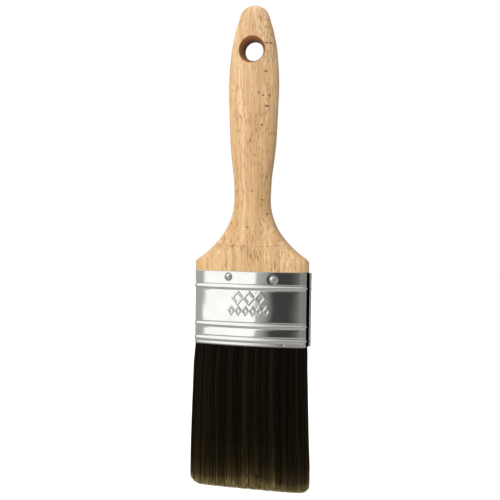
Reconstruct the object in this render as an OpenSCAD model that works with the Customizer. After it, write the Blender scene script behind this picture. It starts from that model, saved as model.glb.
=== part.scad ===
// Flat paint brush for walls and woodwork: a beech handle, a beaded steel ferrule and
// three banks of filaments set in resin.
// Millimetres. The origin is the centre of the hang hole, +Z runs up the handle,
// X runs across the width and the front faces -Y.

/* [Ferrule] */
// Width of the ferrule across its narrow ends, which is the brush's nominal width
ferrule_w = 63.5; // [50:0.5:76]
// Thickness of the ferrule from front to back
ferrule_t = 15.4; // [13:0.2:20]
// Radius of the ferrule's narrow ends
ferrule_end_r = 5; // [4:0.25:6]
// Height of the ferrule
ferrule_h = 40.5; // [38:0.5:48]
// Thickness of the ferrule's steel sheet
sheet_t = 0.5; // [0.3:0.1:0.8]
// Distance of the first bead below the ferrule's top edge
bead_1_drop = 8.7; // [7:0.1:12]
// Distance of the second bead below the ferrule's top edge
bead_2_drop = 29.4; // [24:0.1:31]
// Distance of the third bead below the ferrule's top edge
bead_3_drop = 37.2; // [34:0.1:37.6]
// Width of each bead
bead_w = 2.4; // [1.6:0.2:3]
// How far each bead stands proud
bead_proud = 0.5; // [0.3:0.1:0.8]
// Width of the folded seam on the narrow end
seam_w = 4.4; // [3:0.2:6]
// How far the folded seam stands proud
seam_proud = 1.2; // [0.6:0.1:1.4]

/* [Handle] */
// Length of the handle above the ferrule
handle_h = 143.2; // [136:0.2:160]
// Width of the handle at its narrow neck
neck_w = 20.1; // [17:0.1:24]
// Height of the neck above the ferrule
neck_h = 40; // [36:1:48]
// Width of the handle at its widest
belly_w = 27.6; // [24:0.2:32]
// Thickness of the handle at its widest
belly_t = 16; // [14:0.5:20]
// Thickness of the handle at its neck
neck_t = 13.2; // [11:0.2:16]
// Height of the full-width shoulder above the ferrule
shoulder_h = 5.1; // [4:0.1:7]
// Height of the flat-faced base above the ferrule
base_h = 14; // [10:1:18]
// How much of the rounded edge gives way to a flat side, halfway up the flare
flare_flat = 2.5; // [0:0.5:3]
// Length of the tenon inside the ferrule
tenon_h = 13; // [10:0.5:14]

/* [Hang hole] */
// Diameter of the hang hole where it is narrowest, half way through
hole_d = 10.6; // [9:0.2:12]
// Diameter of its flared mouths, half the belly's thickness from the middle
mouth_d = 15; // [12.4:0.2:16]
// Length of the straight part between the flares
hole_land = 3; // [2:0.5:5]
// Height of the hang hole's centre above the ferrule
hole_h = 119; // [112:1:122]

/* [Nails] */
// Diameter of a nail's shank
nail_d = 1.4; // [1:0.1:2]
// Diameter of a nail's head
nail_head_d = 3.4; // [2.8:0.1:4]
// Length of a nail below its head
nail_h = 6.8; // [4:0.2:7]

/* [Filaments] */
// Length of the filaments out of the ferrule
length_out = 79.5; // [50:0.5:90]
// Width of the tuft near its tips
tip_w = 67.6; // [52:0.2:80]
// Thickness of the tuft near its tips
tip_t = 10.5; // [8:0.5:14]
// Thickness of each spacer plug
plug_t = 2; // [1.5:0.1:2.5]
// Thickness of the middle bank
middle_t = 3.8; // [3:0.1:4.4]
// Height of the resin block
resin_h = 10; // [8:0.5:12]
// Depth to which the resin holds the filaments' ends
set_depth = 5; // [3:0.5:6]
// Height of the spacer plugs
plug_h = 16; // [12:0.5:17]
// Distance from the ferrule's mouth down to the line about which the tuft bends
bend_drop = 10; // [9:0.5:14]

/* [Hidden] */
// Clearance of the wood and the filling in the ferrule
fill_gap = 0.05;
// Clearance between the tuft and what it moves against
tuft_gap = 0.3;
// Clearance between neighbouring banks and plugs
bank_gap = 0.05;
// Thickness of resin round the ends of the filaments
skirt = 0.8;
// How far a nail's dome stands proud
nail_proud = 0.7;
// Longer than any part, for cuts that run right through
far = 200;
// Thickness of the slices that a hull spans
slice = 0.1;
// Power of the curve that sweeps the shoulder into the neck
flare_power = 2.45;
// Edge radius as a share of half the thickness, at the base and along the grip
base_edge = 0.65;
grip_edge = 0.78;
// Number of sections in the flare and in the grip, and points on each
flare_steps = 14;
grip_steps = 30;
around = 48;

// Heights, counted from the centre of the hang hole
top_z = -hole_h;
mouth_z = top_z - ferrule_h;
bend_z = mouth_z - bend_drop;
tenon_z = top_z - tenon_h;
resin_z = tenon_z - resin_h;
set_z = resin_z + set_depth;

ferrule_a = ferrule_w / 2;
ferrule_b = ferrule_t / 2;
// How much the filling is smaller than the ferrule, all round
inset = sheet_t + fill_gap;
// Where the plugs and the outer banks start, counted from the middle
plug_y = middle_t / 2;
bank_y = plug_y + plug_t;

// The grip from neck to tip: share of its length, share of the belly's width and thickness
GRIP = [
    [0, neck_w / belly_w, neck_t / belly_t],
    [0.1, 0.76, 0.865],
    [0.19, 0.845, 0.91],
    [0.29, 0.92, 0.965],
    [0.43, 0.965, 1],
    [0.6, 1, 1],
    [0.76, 0.915, 0.9],
    [0.865, 0.765, 0.8],
    [0.933, 0.61, 0.7],
    [0.965, 0.52, 0.62],
    [0.985, 0.4, 0.5],
    [0.995, 0.27, 0.38],
    [1, 0.19, 0.28]
];

// The tuft from mouth to tips: share of its length, half width and half thickness
TUFT = [
    [0, ferrule_a - inset, ferrule_b - inset],
    [0.3, ferrule_a + 0.8, ferrule_b - 0.1],
    [0.9, tip_w / 2, tip_t / 2],
    [0.95, tip_w / 2 - 0.4, 0.9 * tip_t / 2],
    [0.98, tip_w / 2 - 2.2, 0.75 * tip_t / 2],
    [1, tip_w / 2 - 6, 0.55 * tip_t / 2]
];

// Each nail: name, place across the ferrule, drop below its top edge, turn about Z
NAILS = [
    ["nail_front_left", -11.2, 3.2, 0],
    ["nail_front_right", 13.2, 4.2, 0],
    ["nail_rear_left", -12.2, 3.4, 180],
    ["nail_rear_right", 12.4, 3.8, 180]
];

// An oval is four tangent arcs: half width a, half thickness b and end radius r set it.
// This is the radius of its two long faces.
function face_r(a, b, r) = (pow(a - r, 2) + b * b - r * r) / (2 * (b - r));

// The angle from X at which an end arc meets a face arc
function meet_angle(a, b, r) = atan2(face_r(a, b, r) - b, a - r);

// A point on the oval, with u running once round from 0 to 4
function oval_point(a, b, r, u) =
    let (
        quarter = floor(u),
        part = quarter % 2 == 0 ? u - quarter : 1 - (u - quarter),
        face = face_r(a, b, r),
        meet = meet_angle(a, b, r),
        on_end = part < 0.5,
        angle = on_end ? 2 * part * meet : meet + (2 * part - 1) * (90 - meet),
        x = on_end ? a - r + r * cos(angle) : face * cos(angle),
        y = on_end ? r * sin(angle) : b - face + face * sin(angle)
    )
    [quarter == 0 || quarter == 3 ? x : -x, quarter < 2 ? y : -y];

// The points of a whole oval, with flat sides between its ends where flat is over 0
function oval_points(a, b, r, flat = 0) =
    [for (i = [0 : around - 1])
        let (u = 4 * (i + 0.5) / around)
        oval_point(a, b - flat, r, u) + [0, u < 2 ? flat : -flat]];

// A smooth curve through rows of [place, values]: the value in one column at place t
function row_at(rows, t, i = 0) =
    i == len(rows) - 2 || t < rows[i + 1][0] ? i : row_at(rows, t, i + 1);
function slope(rows, i, column) =
    let (before = max(i - 1, 0), after = min(i + 1, len(rows) - 1))
    (rows[after][column] - rows[before][column]) / (rows[after][0] - rows[before][0]);
function curve(rows, t, column) =
    let (
        i = row_at(rows, t),
        long = rows[i + 1][0] - rows[i][0],
        s = (t - rows[i][0]) / long,
        rise = rows[i + 1][column] - rows[i][column],
        bulge = slope(rows, i, column) * long * (1 - s) - slope(rows, i + 1, column) * long * s
    )
    rows[i][column] + rise * s * s * (3 - 2 * s) + bulge * s * (1 - s);

// The handle at a height above the ferrule: half width, half thickness, half the height
// of its flat side and edge radius
function flare_part(h, from_h) = max(0, (h - from_h) / (neck_h - from_h));
function grip_part(h) = (h - neck_h) / (handle_h - neck_h);
function swept(from_v, to_v, part, power) = to_v + (from_v - to_v) * pow(1 - part, power);
function handle_a(h) =
    h < neck_h ? swept(ferrule_a - 0.1, neck_w / 2, flare_part(h, shoulder_h), flare_power) :
    belly_w / 2 * curve(GRIP, grip_part(h), 1);
function handle_b(h) =
    h < neck_h ? swept(ferrule_b, neck_t / 2, flare_part(h, base_h), 2) :
    belly_t / 2 * curve(GRIP, grip_part(h), 2);
function handle_flat(h) = h < neck_h ? flare_flat * pow(sin(180 * h / neck_h), 2) : 0;
function handle_edge(h) = handle_b(h) *
    (h < neck_h ? swept(base_edge, grip_edge, h / neck_h, 1) : grip_edge) - handle_flat(h);

// An oval prism that follows the ferrule, grown by a distance, between two heights
module ferrule_prism(grow, low_z, high_z) {
    a = ferrule_a + grow;
    b = ferrule_b + grow;
    r = ferrule_end_r + grow;
    face = face_r(a, b, r);
    meet_x = face * cos(meet_angle(a, b, r));
    translate([0, 0, low_z]) {
        intersection() {
            translate([0, face - b, 0]) cylinder(r = face, h = high_z - low_z, $fn = 360);
            translate([0, b - face, 0]) cylinder(r = face, h = high_z - low_z, $fn = 360);
            translate([-meet_x, -far / 2, 0]) cube([2 * meet_x, far, high_z - low_z]);
        }
        for (side = [-1, 1]) {
            translate([side * (a - r), 0, 0]) cylinder(r = r, h = high_z - low_z, $fn = 96);
        }
    }
}

// A slab across the brush between two depths and two heights
module slab(low_y, high_y, low_z, high_z) {
    translate([-far / 2, low_y, low_z]) cube([far, high_y - low_y, high_z - low_z]);
}

// A closed solid through sections at heights, each of around points
module loft(heights, sections) {
    rings = len(heights);
    points = [for (k = [0 : rings - 1]) for (p = sections[k]) [p[0], p[1], heights[k]]];
    low_cap = [[for (i = [0 : around - 1]) i]];
    high_cap = [[for (i = [0 : around - 1]) rings * around - 1 - i]];
    sides = [
        for (k = [0 : rings - 2]) for (i = [0 : around - 1])
            let (j = (i + 1) % around, low = k * around, high = low + around)
            each [[low + i, high + i, high + j], [low + i, high + j, low + j]]
    ];
    polyhedron(points = points, faces = concat(low_cap, sides, high_cap));
}

// The wood above the ferrule
module grip() {
    flare = [for (i = [0 : flare_steps - 1])
        shoulder_h + (neck_h - shoulder_h) * pow(i / flare_steps, 1.3)];
    hand = [for (i = [0 : grip_steps])
        neck_h + (handle_h - neck_h) * sin(90 * i / grip_steps)];
    above = concat([0], flare, hand);
    loft([for (h = above) top_z + h],
        [for (h = above)
            oval_points(handle_a(h), handle_b(h), handle_edge(h), handle_flat(h))]);
}

// Carries a shape that points along -Y from the origin to a nail's place on the ferrule
module at_nail(nail) {
    face = face_r(ferrule_a, ferrule_b, ferrule_end_r);
    rotate([0, 0, nail[3]])
        translate([0, face - ferrule_b, top_z - nail[2]])
            rotate([0, 0, asin(nail[1] / face)])
                translate([0, -face, 0])
                    children();
}

module nail_shank(outside) {
    translate([0, -outside, 0]) rotate([-90, 0, 0])
        cylinder(d = nail_d, h = nail_h + outside, $fn = 32);
}

// The holes that the nails have made in what they hold
module nail_holes() {
    for (nail = NAILS) {
        at_nail(nail) nail_shank(bead_proud);
    }
}

module nail(which) {
    dome_r = (pow(nail_head_d / 2, 2) + nail_proud * nail_proud) / (2 * nail_proud);
    color("lightsteelblue") at_nail(NAILS[which]) {
        nail_shank(0);
        intersection() {
            translate([0, dome_r - nail_proud, 0]) sphere(r = dome_r, $fn = 64);
            translate([-far / 2, -far, -far / 2]) cube([far, far, far]);
        }
    }
}

// A straight bore with a cone opening out of it towards each face
module hang_hole() {
    rotate([90, 0, 0]) cylinder(d = hole_d, h = far, center = true, $fn = 96);
    for (side = [-90, 90])
        rotate([side, 0, 0]) translate([0, 0, hole_land / 2])
            cylinder(d1 = hole_d, d2 = mouth_d, h = (belly_t - hole_land) / 2, $fn = 96);
}

module handle() {
    color("burlywood") difference() {
        union() {
            grip();
            ferrule_prism(-inset, tenon_z, top_z);
        }
        hang_hole();
        nail_holes();
    }
}

// The pressed bead: a low wide step under a narrower one
module bead(drop) {
    bead_z = top_z - drop;
    ferrule_prism(bead_proud / 2, bead_z - bead_w / 2, bead_z + bead_w / 2);
    ferrule_prism(bead_proud, bead_z - bead_w / 4, bead_z + bead_w / 4);
}

module ferrule() {
    color("silver") difference() {
        union() {
            ferrule_prism(0, mouth_z, top_z);
            for (drop = [bead_1_drop, bead_2_drop, bead_3_drop]) {
                bead(drop);
            }
            translate([ferrule_a - sheet_t, -seam_w / 2, mouth_z])
                cube([sheet_t + seam_proud, seam_w, ferrule_h]);
        }
        ferrule_prism(-sheet_t, mouth_z - 1, top_z + 1);
        nail_holes();
    }
}

module resin_block() {
    color("goldenrod") difference() {
        ferrule_prism(-inset, resin_z, tenon_z);
        ferrule_prism(-inset - skirt, resin_z - 1, set_z);
    }
}

// A strip between two banks, which leaves the reservoir below it
module spacer_plug(low_y) {
    color("tan") intersection() {
        ferrule_prism(-inset - skirt, set_z - plug_h, set_z);
        slab(low_y + bank_gap, low_y + plug_t - bank_gap, set_z - plug_h, set_z);
    }
}

// The part of a bank that the ferrule and the resin hold still
module filament_roots(low_y, high_y) {
    color("dimgray") intersection() {
        union() {
            ferrule_prism(-inset, mouth_z, resin_z);
            ferrule_prism(-inset - skirt, resin_z, set_z);
        }
        slab(low_y, high_y, mouth_z, set_z);
    }
}

// The free length of a bank, which bends about a line below the ferrule's mouth
module filament_bank(low_y, high_y) {
    color([0.16, 0.14, 0.1]) intersection() {
        hull() {
            for (row = TUFT) {
                translate([0, 0, mouth_z - row[0] * (length_out - slice) - slice])
                    linear_extrude(height = slice)
                        polygon(oval_points(row[1], row[2], grip_edge * row[2]));
            }
        }
        union() {
            slab(low_y, high_y, mouth_z - length_out, bend_z);
            intersection() {
                slab(low_y, high_y, bend_z, mouth_z);
                translate([0, 0, bend_z]) rotate([0, 90, 0])
                    cylinder(r = bend_drop - tuft_gap, h = far, center = true, $fn = 96);
            }
        }
    }
}

handle();
ferrule();
nail(0);  // nail_front_left
nail(1);  // nail_front_right
nail(2);  // nail_rear_left
nail(3);  // nail_rear_right
resin_block();
spacer_plug(-bank_y);  // spacer_plug_front
spacer_plug(plug_y);  // spacer_plug_rear
filament_roots(-far, -bank_y);  // filament_roots_front
filament_roots(-plug_y, plug_y);  // filament_roots_middle
filament_roots(bank_y, far);  // filament_roots_rear
filament_bank(-far, -plug_y - bank_gap);  // filament_bank_front
filament_bank(-plug_y + bank_gap, plug_y - bank_gap);  // filament_bank_middle
filament_bank(plug_y + bank_gap, far);  // filament_bank_rear
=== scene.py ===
"""The looks of the paint brush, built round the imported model.

Metres. +Z runs up the handle, X across the width, and the front faces -Y.
"""

import math

import bpy
import numpy as np
from mathutils import Matrix, Vector


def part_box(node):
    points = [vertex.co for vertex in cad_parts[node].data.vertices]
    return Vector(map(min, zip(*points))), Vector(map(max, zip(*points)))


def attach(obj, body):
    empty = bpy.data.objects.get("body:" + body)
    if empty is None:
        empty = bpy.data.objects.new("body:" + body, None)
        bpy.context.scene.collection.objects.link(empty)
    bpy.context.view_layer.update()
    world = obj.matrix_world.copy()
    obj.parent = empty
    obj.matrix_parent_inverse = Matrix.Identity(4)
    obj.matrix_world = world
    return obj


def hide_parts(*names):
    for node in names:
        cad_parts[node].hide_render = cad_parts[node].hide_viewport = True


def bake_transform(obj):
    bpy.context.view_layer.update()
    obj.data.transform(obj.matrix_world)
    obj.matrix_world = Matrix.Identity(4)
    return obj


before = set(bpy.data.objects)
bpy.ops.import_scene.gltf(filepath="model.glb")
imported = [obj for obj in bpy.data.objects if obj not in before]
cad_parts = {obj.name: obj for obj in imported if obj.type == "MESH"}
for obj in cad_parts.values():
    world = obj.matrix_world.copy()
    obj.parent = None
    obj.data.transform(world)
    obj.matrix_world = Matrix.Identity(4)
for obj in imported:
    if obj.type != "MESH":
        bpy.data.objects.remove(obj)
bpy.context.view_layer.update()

MM = 0.001
RNG = np.random.default_rng(7)

# ---------------------------------------------------------------- places, from the frame
FERRULE_LOW, FERRULE_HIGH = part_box("ferrule")
HANDLE_LOW, HANDLE_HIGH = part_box("handle")
TOP_Z = FERRULE_HIGH.z
MOUTH_Z = FERRULE_LOW.z
TIPS_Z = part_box("filament_bank_front")[0].z

# ---------------------------------------------------------------- driving dimensions
BEAD_PROUD = 0.5 * MM
BEAD_W = 2.4 * MM
BEAD_DROPS = (8.7 * MM, 29.4 * MM, 37.2 * MM)
SHEET_T = 0.5 * MM
FERRULE_A = -FERRULE_LOW.x - BEAD_PROUD
FERRULE_B = -FERRULE_LOW.y - BEAD_PROUD
FERRULE_END_R = 5 * MM
FERRULE_H = TOP_Z - MOUTH_Z
SEAM_PROUD = FERRULE_HIGH.x - FERRULE_A
SEAM_HALF = 2.2 * MM
FILL_INSET = SHEET_T + 0.05 * MM

HANDLE_H = HANDLE_HIGH.z - TOP_Z
TENON_H = TOP_Z - HANDLE_LOW.z
NECK_A = 20.1 * MM / 2
NECK_B = 13.2 * MM / 2
NECK_H = 40 * MM
BELLY_A = 27.6 * MM / 2
BELLY_B = 16 * MM / 2
SHOULDER_H = 5.1 * MM
BASE_H = 14 * MM
FLARE_FLAT = 2.5 * MM
FLARE_POWER = 2.45
BASE_EDGE = 0.65
GRIP_EDGE = 0.78
WAIST_R = 10.6 * MM / 2
MOUTH_R = 14.2 * MM / 2
HOLE_LAND = 3 * MM
CREASE_DIP = 0.7 * MM
CREASE_RISE = 1.6 * MM
CREASE_HALF = 22 * MM

TUFT_H = MOUTH_Z - TIPS_Z
TIP_A = 67.6 * MM / 2
TIP_B = 10.5 * MM / 2

# The grip from neck to tip: share of its length, half width and half thickness
GRIP = [
    (0, NECK_A, NECK_B),
    (0.1, 0.76 * BELLY_A, 0.865 * BELLY_B),
    (0.19, 0.845 * BELLY_A, 0.91 * BELLY_B),
    (0.29, 0.92 * BELLY_A, 0.965 * BELLY_B),
    (0.43, 0.965 * BELLY_A, BELLY_B),
    (0.6, BELLY_A, BELLY_B),
    (0.76, 0.915 * BELLY_A, 0.9 * BELLY_B),
    (0.865, 0.765 * BELLY_A, 0.8 * BELLY_B),
    (0.933, 0.61 * BELLY_A, 0.7 * BELLY_B),
    (0.965, 0.52 * BELLY_A, 0.62 * BELLY_B),
    (0.985, 0.4 * BELLY_A, 0.5 * BELLY_B),
    (0.995, 0.27 * BELLY_A, 0.38 * BELLY_B),
    (1, 0.19 * BELLY_A, 0.28 * BELLY_B),
]

# The tuft from mouth to tips: share of its length, half width and half thickness
TUFT = [
    (0, FERRULE_A - FILL_INSET, FERRULE_B - FILL_INSET),
    (0.04, FERRULE_A + 0.05 * MM, FERRULE_B - 0.4 * MM),
    (0.3, FERRULE_A + 0.8 * MM, FERRULE_B - 0.1 * MM),
    (0.9, TIP_A, TIP_B),
    (0.95, TIP_A - 0.4 * MM, 0.9 * TIP_B),
    (0.98, TIP_A - 2.2 * MM, 0.75 * TIP_B),
    (1, TIP_A - 6 * MM, 0.55 * TIP_B),
]

# Each nail in the front or the back of the ferrule: place across it and drop from its top
NAILS = [
    (-11.2 * MM, 3.2 * MM, -1),
    (13.2 * MM, 4.2 * MM, -1),
    (12.2 * MM, 3.4 * MM, 1),
    (-12.4 * MM, 3.8 * MM, 1),
]

# Pores and small knots in the wood: x, height above the ferrule, half width, half height
WOOD_MARKS = [
    (7.7, 122.5, 0.8, 0.45),
    (9.8, 122.4, 0.9, 0.4),
    (8.0, 107.0, 1.1, 0.5),
    (4.5, 95.7, 0.45, 0.9),
    (6.7, 94.3, 0.6, 0.6),
    (9.9, 94.4, 0.55, 0.8),
    (8.8, 88.6, 1.2, 0.75),
    (6.2, 78.6, 0.7, 0.7),
    (0.1, 70.4, 0.5, 1.3),
    (1.2, 43.4, 0.5, 0.7),
    (6.6, 38.6, 0.9, 0.4),
    (9.0, 31.0, 0.7, 0.7),
    (14.4, 4.0, 0.35, 3.2),
    (-1.0, 23.8, 0.9, 0.45),
]


# ---------------------------------------------------------------- mesh helpers
def new_piece(name, points, faces, material):
    """A smooth-shaded mesh object from rows of points and faces."""
    mesh = bpy.data.meshes.new(name)
    mesh.from_pydata(np.asarray(points).tolist(), [], [list(map(int, f)) for f in faces])
    mesh.update()
    piece = bpy.data.objects.new(name, mesh)
    bpy.context.scene.collection.objects.link(piece)
    mesh.materials.append(material)
    mesh.shade_smooth()
    return piece


def ring_faces(rings, around):
    """The quads between neighbouring rings of points."""
    ring = np.arange(rings - 1)[:, None] * around
    this = np.arange(around)[None, :]
    after = (this + 1) % around
    quads = np.stack([ring + this, ring + after, ring + around + after, ring + around + this], -1)
    return quads.reshape(-1, 4).tolist()


def curve(rows, share, column):
    """A smooth curve through rows of (place, values), as an array."""
    place = np.array([row[0] for row in rows])
    value = np.array([row[column] for row in rows])
    count = len(rows)
    before = np.maximum(np.arange(count) - 1, 0)
    after = np.minimum(np.arange(count) + 1, count - 1)
    slope = (value[after] - value[before]) / (place[after] - place[before])
    i = np.clip(np.searchsorted(place, share, side="right") - 1, 0, count - 2)
    long = place[i + 1] - place[i]
    s = (share - place[i]) / long
    bulge = slope[i] * long * (1 - s) - slope[i + 1] * long * s
    return value[i] + (value[i + 1] - value[i]) * s * s * (3 - 2 * s) + bulge * s * (1 - s)


def oval(a, b, r, flat, u):
    """Points of an oval of tangent arcs with flat sides, where u runs once round from 0 to 4."""
    quarter = np.floor(u)
    part = np.where(quarter % 2 == 0, u - quarter, 1 - (u - quarter))
    b = b - flat
    face = ((a - r) ** 2 + b**2 - r**2) / (2 * (b - r))
    meet = np.arctan2(face - b, a - r)
    on_end = part < 0.5
    angle = np.where(on_end, 2 * part * meet, meet + (2 * part - 1) * (math.pi / 2 - meet))
    x = np.where(on_end, a - r + r * np.cos(angle), face * np.cos(angle))
    y = np.where(on_end, r * np.sin(angle), b - face + face * np.sin(angle)) + flat
    x = np.where((quarter == 0) | (quarter == 3), x, -x)
    y = np.where(quarter < 2, y, -y)
    return x, y


def smooth_step(low, high, value):
    """0 below low and 1 above high, with a smooth rise between them."""
    t = np.clip((value - low) / (high - low), 0, 1)
    return t * t * (3 - 2 * t)


# ---------------------------------------------------------------- material helpers
def add_node(tree, kind, values=None, **settings):
    """A new node, with its settings, and its inputs as constants or as sockets to link."""
    made = tree.nodes.new(kind)
    for name, value in settings.items():
        setattr(made, name, value)
    for key, value in (values or {}).items():
        if isinstance(value, bpy.types.NodeSocket):
            tree.links.new(value, made.inputs[key])
        else:
            made.inputs[key].default_value = value
    return made


def math_node(tree, operation, a, b=0.0, clamp=False):
    """One Math node on two constants or sockets."""
    values = {0: a, 1: b}
    return add_node(tree, "ShaderNodeMath", values, operation=operation, use_clamp=clamp).outputs[0]


def mix_colour(tree, factor, a, b, blend="MIX"):
    """One colour mixed over another."""
    values = {"Factor": factor, 6: a, 7: b}
    made = add_node(tree, "ShaderNodeMix", values, data_type="RGBA", blend_type=blend)
    return made.outputs[2]


def ramp(tree, factor, stops):
    """A colour ramp; each stop is a place and a grey or a colour."""
    made = add_node(tree, "ShaderNodeValToRGB", {"Fac": factor})
    elements = made.color_ramp.elements
    while len(elements) < len(stops):
        elements.new(0.5)
    for element, (place, value) in zip(elements, stops):
        element.position = place
        element.color = (value, value, value, 1) if np.isscalar(value) else (*value, 1)
    return made.outputs["Color"]


def scaled_noise(tree, vector, scale, detail=2.0, roughness=0.5):
    """Noise whose features are 1 / scale across along each axis."""
    values = {"Vector": vector, "Scale": scale}
    mapped = add_node(tree, "ShaderNodeMapping", values, vector_type="POINT").outputs[0]
    values = {"Vector": mapped, "Scale": 1.0, "Detail": detail, "Roughness": roughness}
    return add_node(tree, "ShaderNodeTexNoise", values).outputs["Fac"]


def new_material(name, roughness, metallic=0.0, specular=0.5):
    """A material's tree and its shader, with the constants on the shader's own sockets."""
    material = bpy.data.materials.new(name)
    material.use_nodes = True
    tree = material.node_tree
    shader = tree.nodes["Principled BSDF"]
    shader.inputs["Roughness"].default_value = roughness
    shader.inputs["Metallic"].default_value = metallic
    shader.inputs["Specular IOR Level"].default_value = specular
    return material, tree, shader


def set_bump(tree, shader, height, strength, distance):
    """A bump from a height, on the shader."""
    values = {"Height": height, "Strength": strength, "Distance": distance}
    bump = add_node(tree, "ShaderNodeBump", values)
    tree.links.new(bump.outputs["Normal"], shader.inputs["Normal"])


# ---------------------------------------------------------------- materials
GOLDEN = (0.76, 0.53, 0.262, 1)
PINKISH = (0.76, 0.50, 0.285, 1)
BLEACHED = (0.82, 0.59, 0.37, 1)
BAND = (0.60, 0.38, 0.175, 1)
STREAK = (0.50, 0.28, 0.12, 1)
FINE_LINE = (0.47, 0.26, 0.11, 1)
FLECK = (0.30, 0.145, 0.05, 1)
# Painted shade in the crease above the handle's foot
CREASE_SHADE = (0.36, 0.19, 0.08, 1)
KNOT = (0.16, 0.062, 0.016, 1)
# The hang hole's wall: end-grain brown at its front mouth, turning to painted shade deeper in and over its
# rim
BORE_MOUTH = (0.42, 0.17, 0.05, 1)
BORE_DEEP_SHADE = (0.11, 0.055, 0.028, 1)
BORE_SHADE = (-6 * MM, -1 * MM)
BORE_RIM = 0.5 * MM
BLEACHED_FROM = (-45 * MM, 15 * MM)
MARK_FALL = 0.62
MARK_DEPTH = 0.9
# The ferrule's dark colour and extra roughness for dirt and painted shade: the slot by the seam, rings round
# the nails, the dent, the edges and the inside
METAL_DIRT_AND_SHADE = (0.02, 0.017, 0.013, 1)
SMUDGE = 0.93
DIRT_AND_SHADE_ROUGHNESS = 0.4


def beech():
    """Pale beech: soft bands, fine streaks, the short dark flecks of its rays, small knots."""
    material, tree, shader = new_material("beech", 0.5, specular=0.35)
    place = add_node(tree, "ShaderNodeTexCoord").outputs["Object"]
    values = {"Vector": place, "Scale": 30.0, "Detail": 2.0}
    wander = add_node(tree, "ShaderNodeTexNoise", values).outputs["Color"]
    centred = add_node(tree, "ShaderNodeVectorMath", {0: wander, 1: (0.5, 0.5, 0.5)}, operation="SUBTRACT")
    values = {0: centred.outputs[0], 1: (0.004, 0.004, 0.0), 2: place}
    grain = add_node(tree, "ShaderNodeVectorMath", values, operation="MULTIPLY_ADD").outputs[0]

    split = add_node(tree, "ShaderNodeSeparateXYZ", {0: place})
    values = {"Value": split.outputs[2], "From Min": BLEACHED_FROM[0], "From Max": BLEACHED_FROM[1]}
    values["To Max"] = 0.55
    up = add_node(tree, "ShaderNodeMapRange", values).outputs[0]
    bands = scaled_noise(tree, grain, (210, 210, 5), 2.0)
    streaks = scaled_noise(tree, grain, (900, 900, 16), 3.0, 0.6)
    hue = scaled_noise(tree, grain, (75, 75, 4), 1.0)
    flecks = scaled_noise(tree, grain, (1500, 1500, 270), 1.0)
    patches = scaled_noise(tree, grain, (120, 120, 40), 1.0)

    pale = mix_colour(tree, ramp(tree, hue, [(0.38, 0.0), (0.62, 1.0)]), GOLDEN, PINKISH)
    paler = mix_colour(tree, up, pale, BLEACHED)
    wood = mix_colour(tree, ramp(tree, bands, [(0.35, 1.0), (0.6, 0.0)]), paler, BAND)
    lines = scaled_noise(tree, grain, (1500, 1500, 42), 2.0, 0.6)
    streaky = mix_colour(tree, ramp(tree, streaks, [(0.35, 0.6), (0.55, 0.0)]), wood, STREAK)
    lined = mix_colour(tree, ramp(tree, lines, [(0.36, 0.6), (0.5, 0.0)]), streaky, FINE_LINE)
    fleck_mask = math_node(
        tree,
        "MULTIPLY",
        ramp(tree, flecks, [(0.58, 0.0), (0.66, 1.0)]),
        ramp(tree, patches, [(0.35, 0.2), (0.6, 0.75)]),
    )
    flecked = mix_colour(tree, fleck_mask, lined, FLECK)

    marks = wood_marks(tree, place)
    # Painted shade along the crease
    creased = mix_colour(tree, crease_shade_mask(tree, place), flecked, CREASE_SHADE)
    marked = mix_colour(tree, marks, creased, KNOT)
    # The hang hole's wall and rim: the end grain's own brown, with painted shade deeper in from the front
    bore = bore_mask(tree, place)
    values = {"Value": split.outputs[1], "From Min": BORE_SHADE[0], "From Max": BORE_SHADE[1]}
    inward = add_node(tree, "ShaderNodeMapRange", values).outputs[0]
    bore_wall_shaded = mix_colour(tree, inward, BORE_MOUTH, BORE_DEEP_SHADE)
    final = mix_colour(tree, bore, marked, bore_wall_shaded)
    tree.links.new(final, shader.inputs["Base Color"])

    rough = ramp(tree, streaks, [(0.3, 0.62), (0.7, 0.45)])
    tree.links.new(rough, shader.inputs["Roughness"])
    hollow = math_node(tree, "ADD", fleck_mask, marks)
    height = math_node(tree, "SUBTRACT", streaks, hollow)
    set_bump(tree, shader, height, 0.35, 0.00012)
    return material


def wood_marks(tree, place):
    """A mask of the small knots in the handle's front, each a soft ellipse in x and z."""
    split = add_node(tree, "ShaderNodeSeparateXYZ", {0: place})
    total = None
    for x, height, half_w, half_h in WOOD_MARKS:
        off_x = math_node(tree, "SUBTRACT", split.outputs[0], x * MM)
        off_z = math_node(tree, "SUBTRACT", split.outputs[2], TOP_Z + height * MM)
        across = math_node(tree, "POWER", math_node(tree, "DIVIDE", off_x, half_w * MM), 2.0)
        along = math_node(tree, "POWER", math_node(tree, "DIVIDE", off_z, half_h * MM), 2.0)
        fall = math_node(tree, "MULTIPLY", math_node(tree, "ADD", across, along), MARK_FALL)
        spot = math_node(tree, "SUBTRACT", 1.0, fall, clamp=True)
        total = spot if total is None else math_node(tree, "MAXIMUM", total, spot)
    front = math_node(tree, "LESS_THAN", split.outputs[1], 0.0)
    return math_node(tree, "MULTIPLY", math_node(tree, "MULTIPLY", total, front), MARK_DEPTH)


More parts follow.
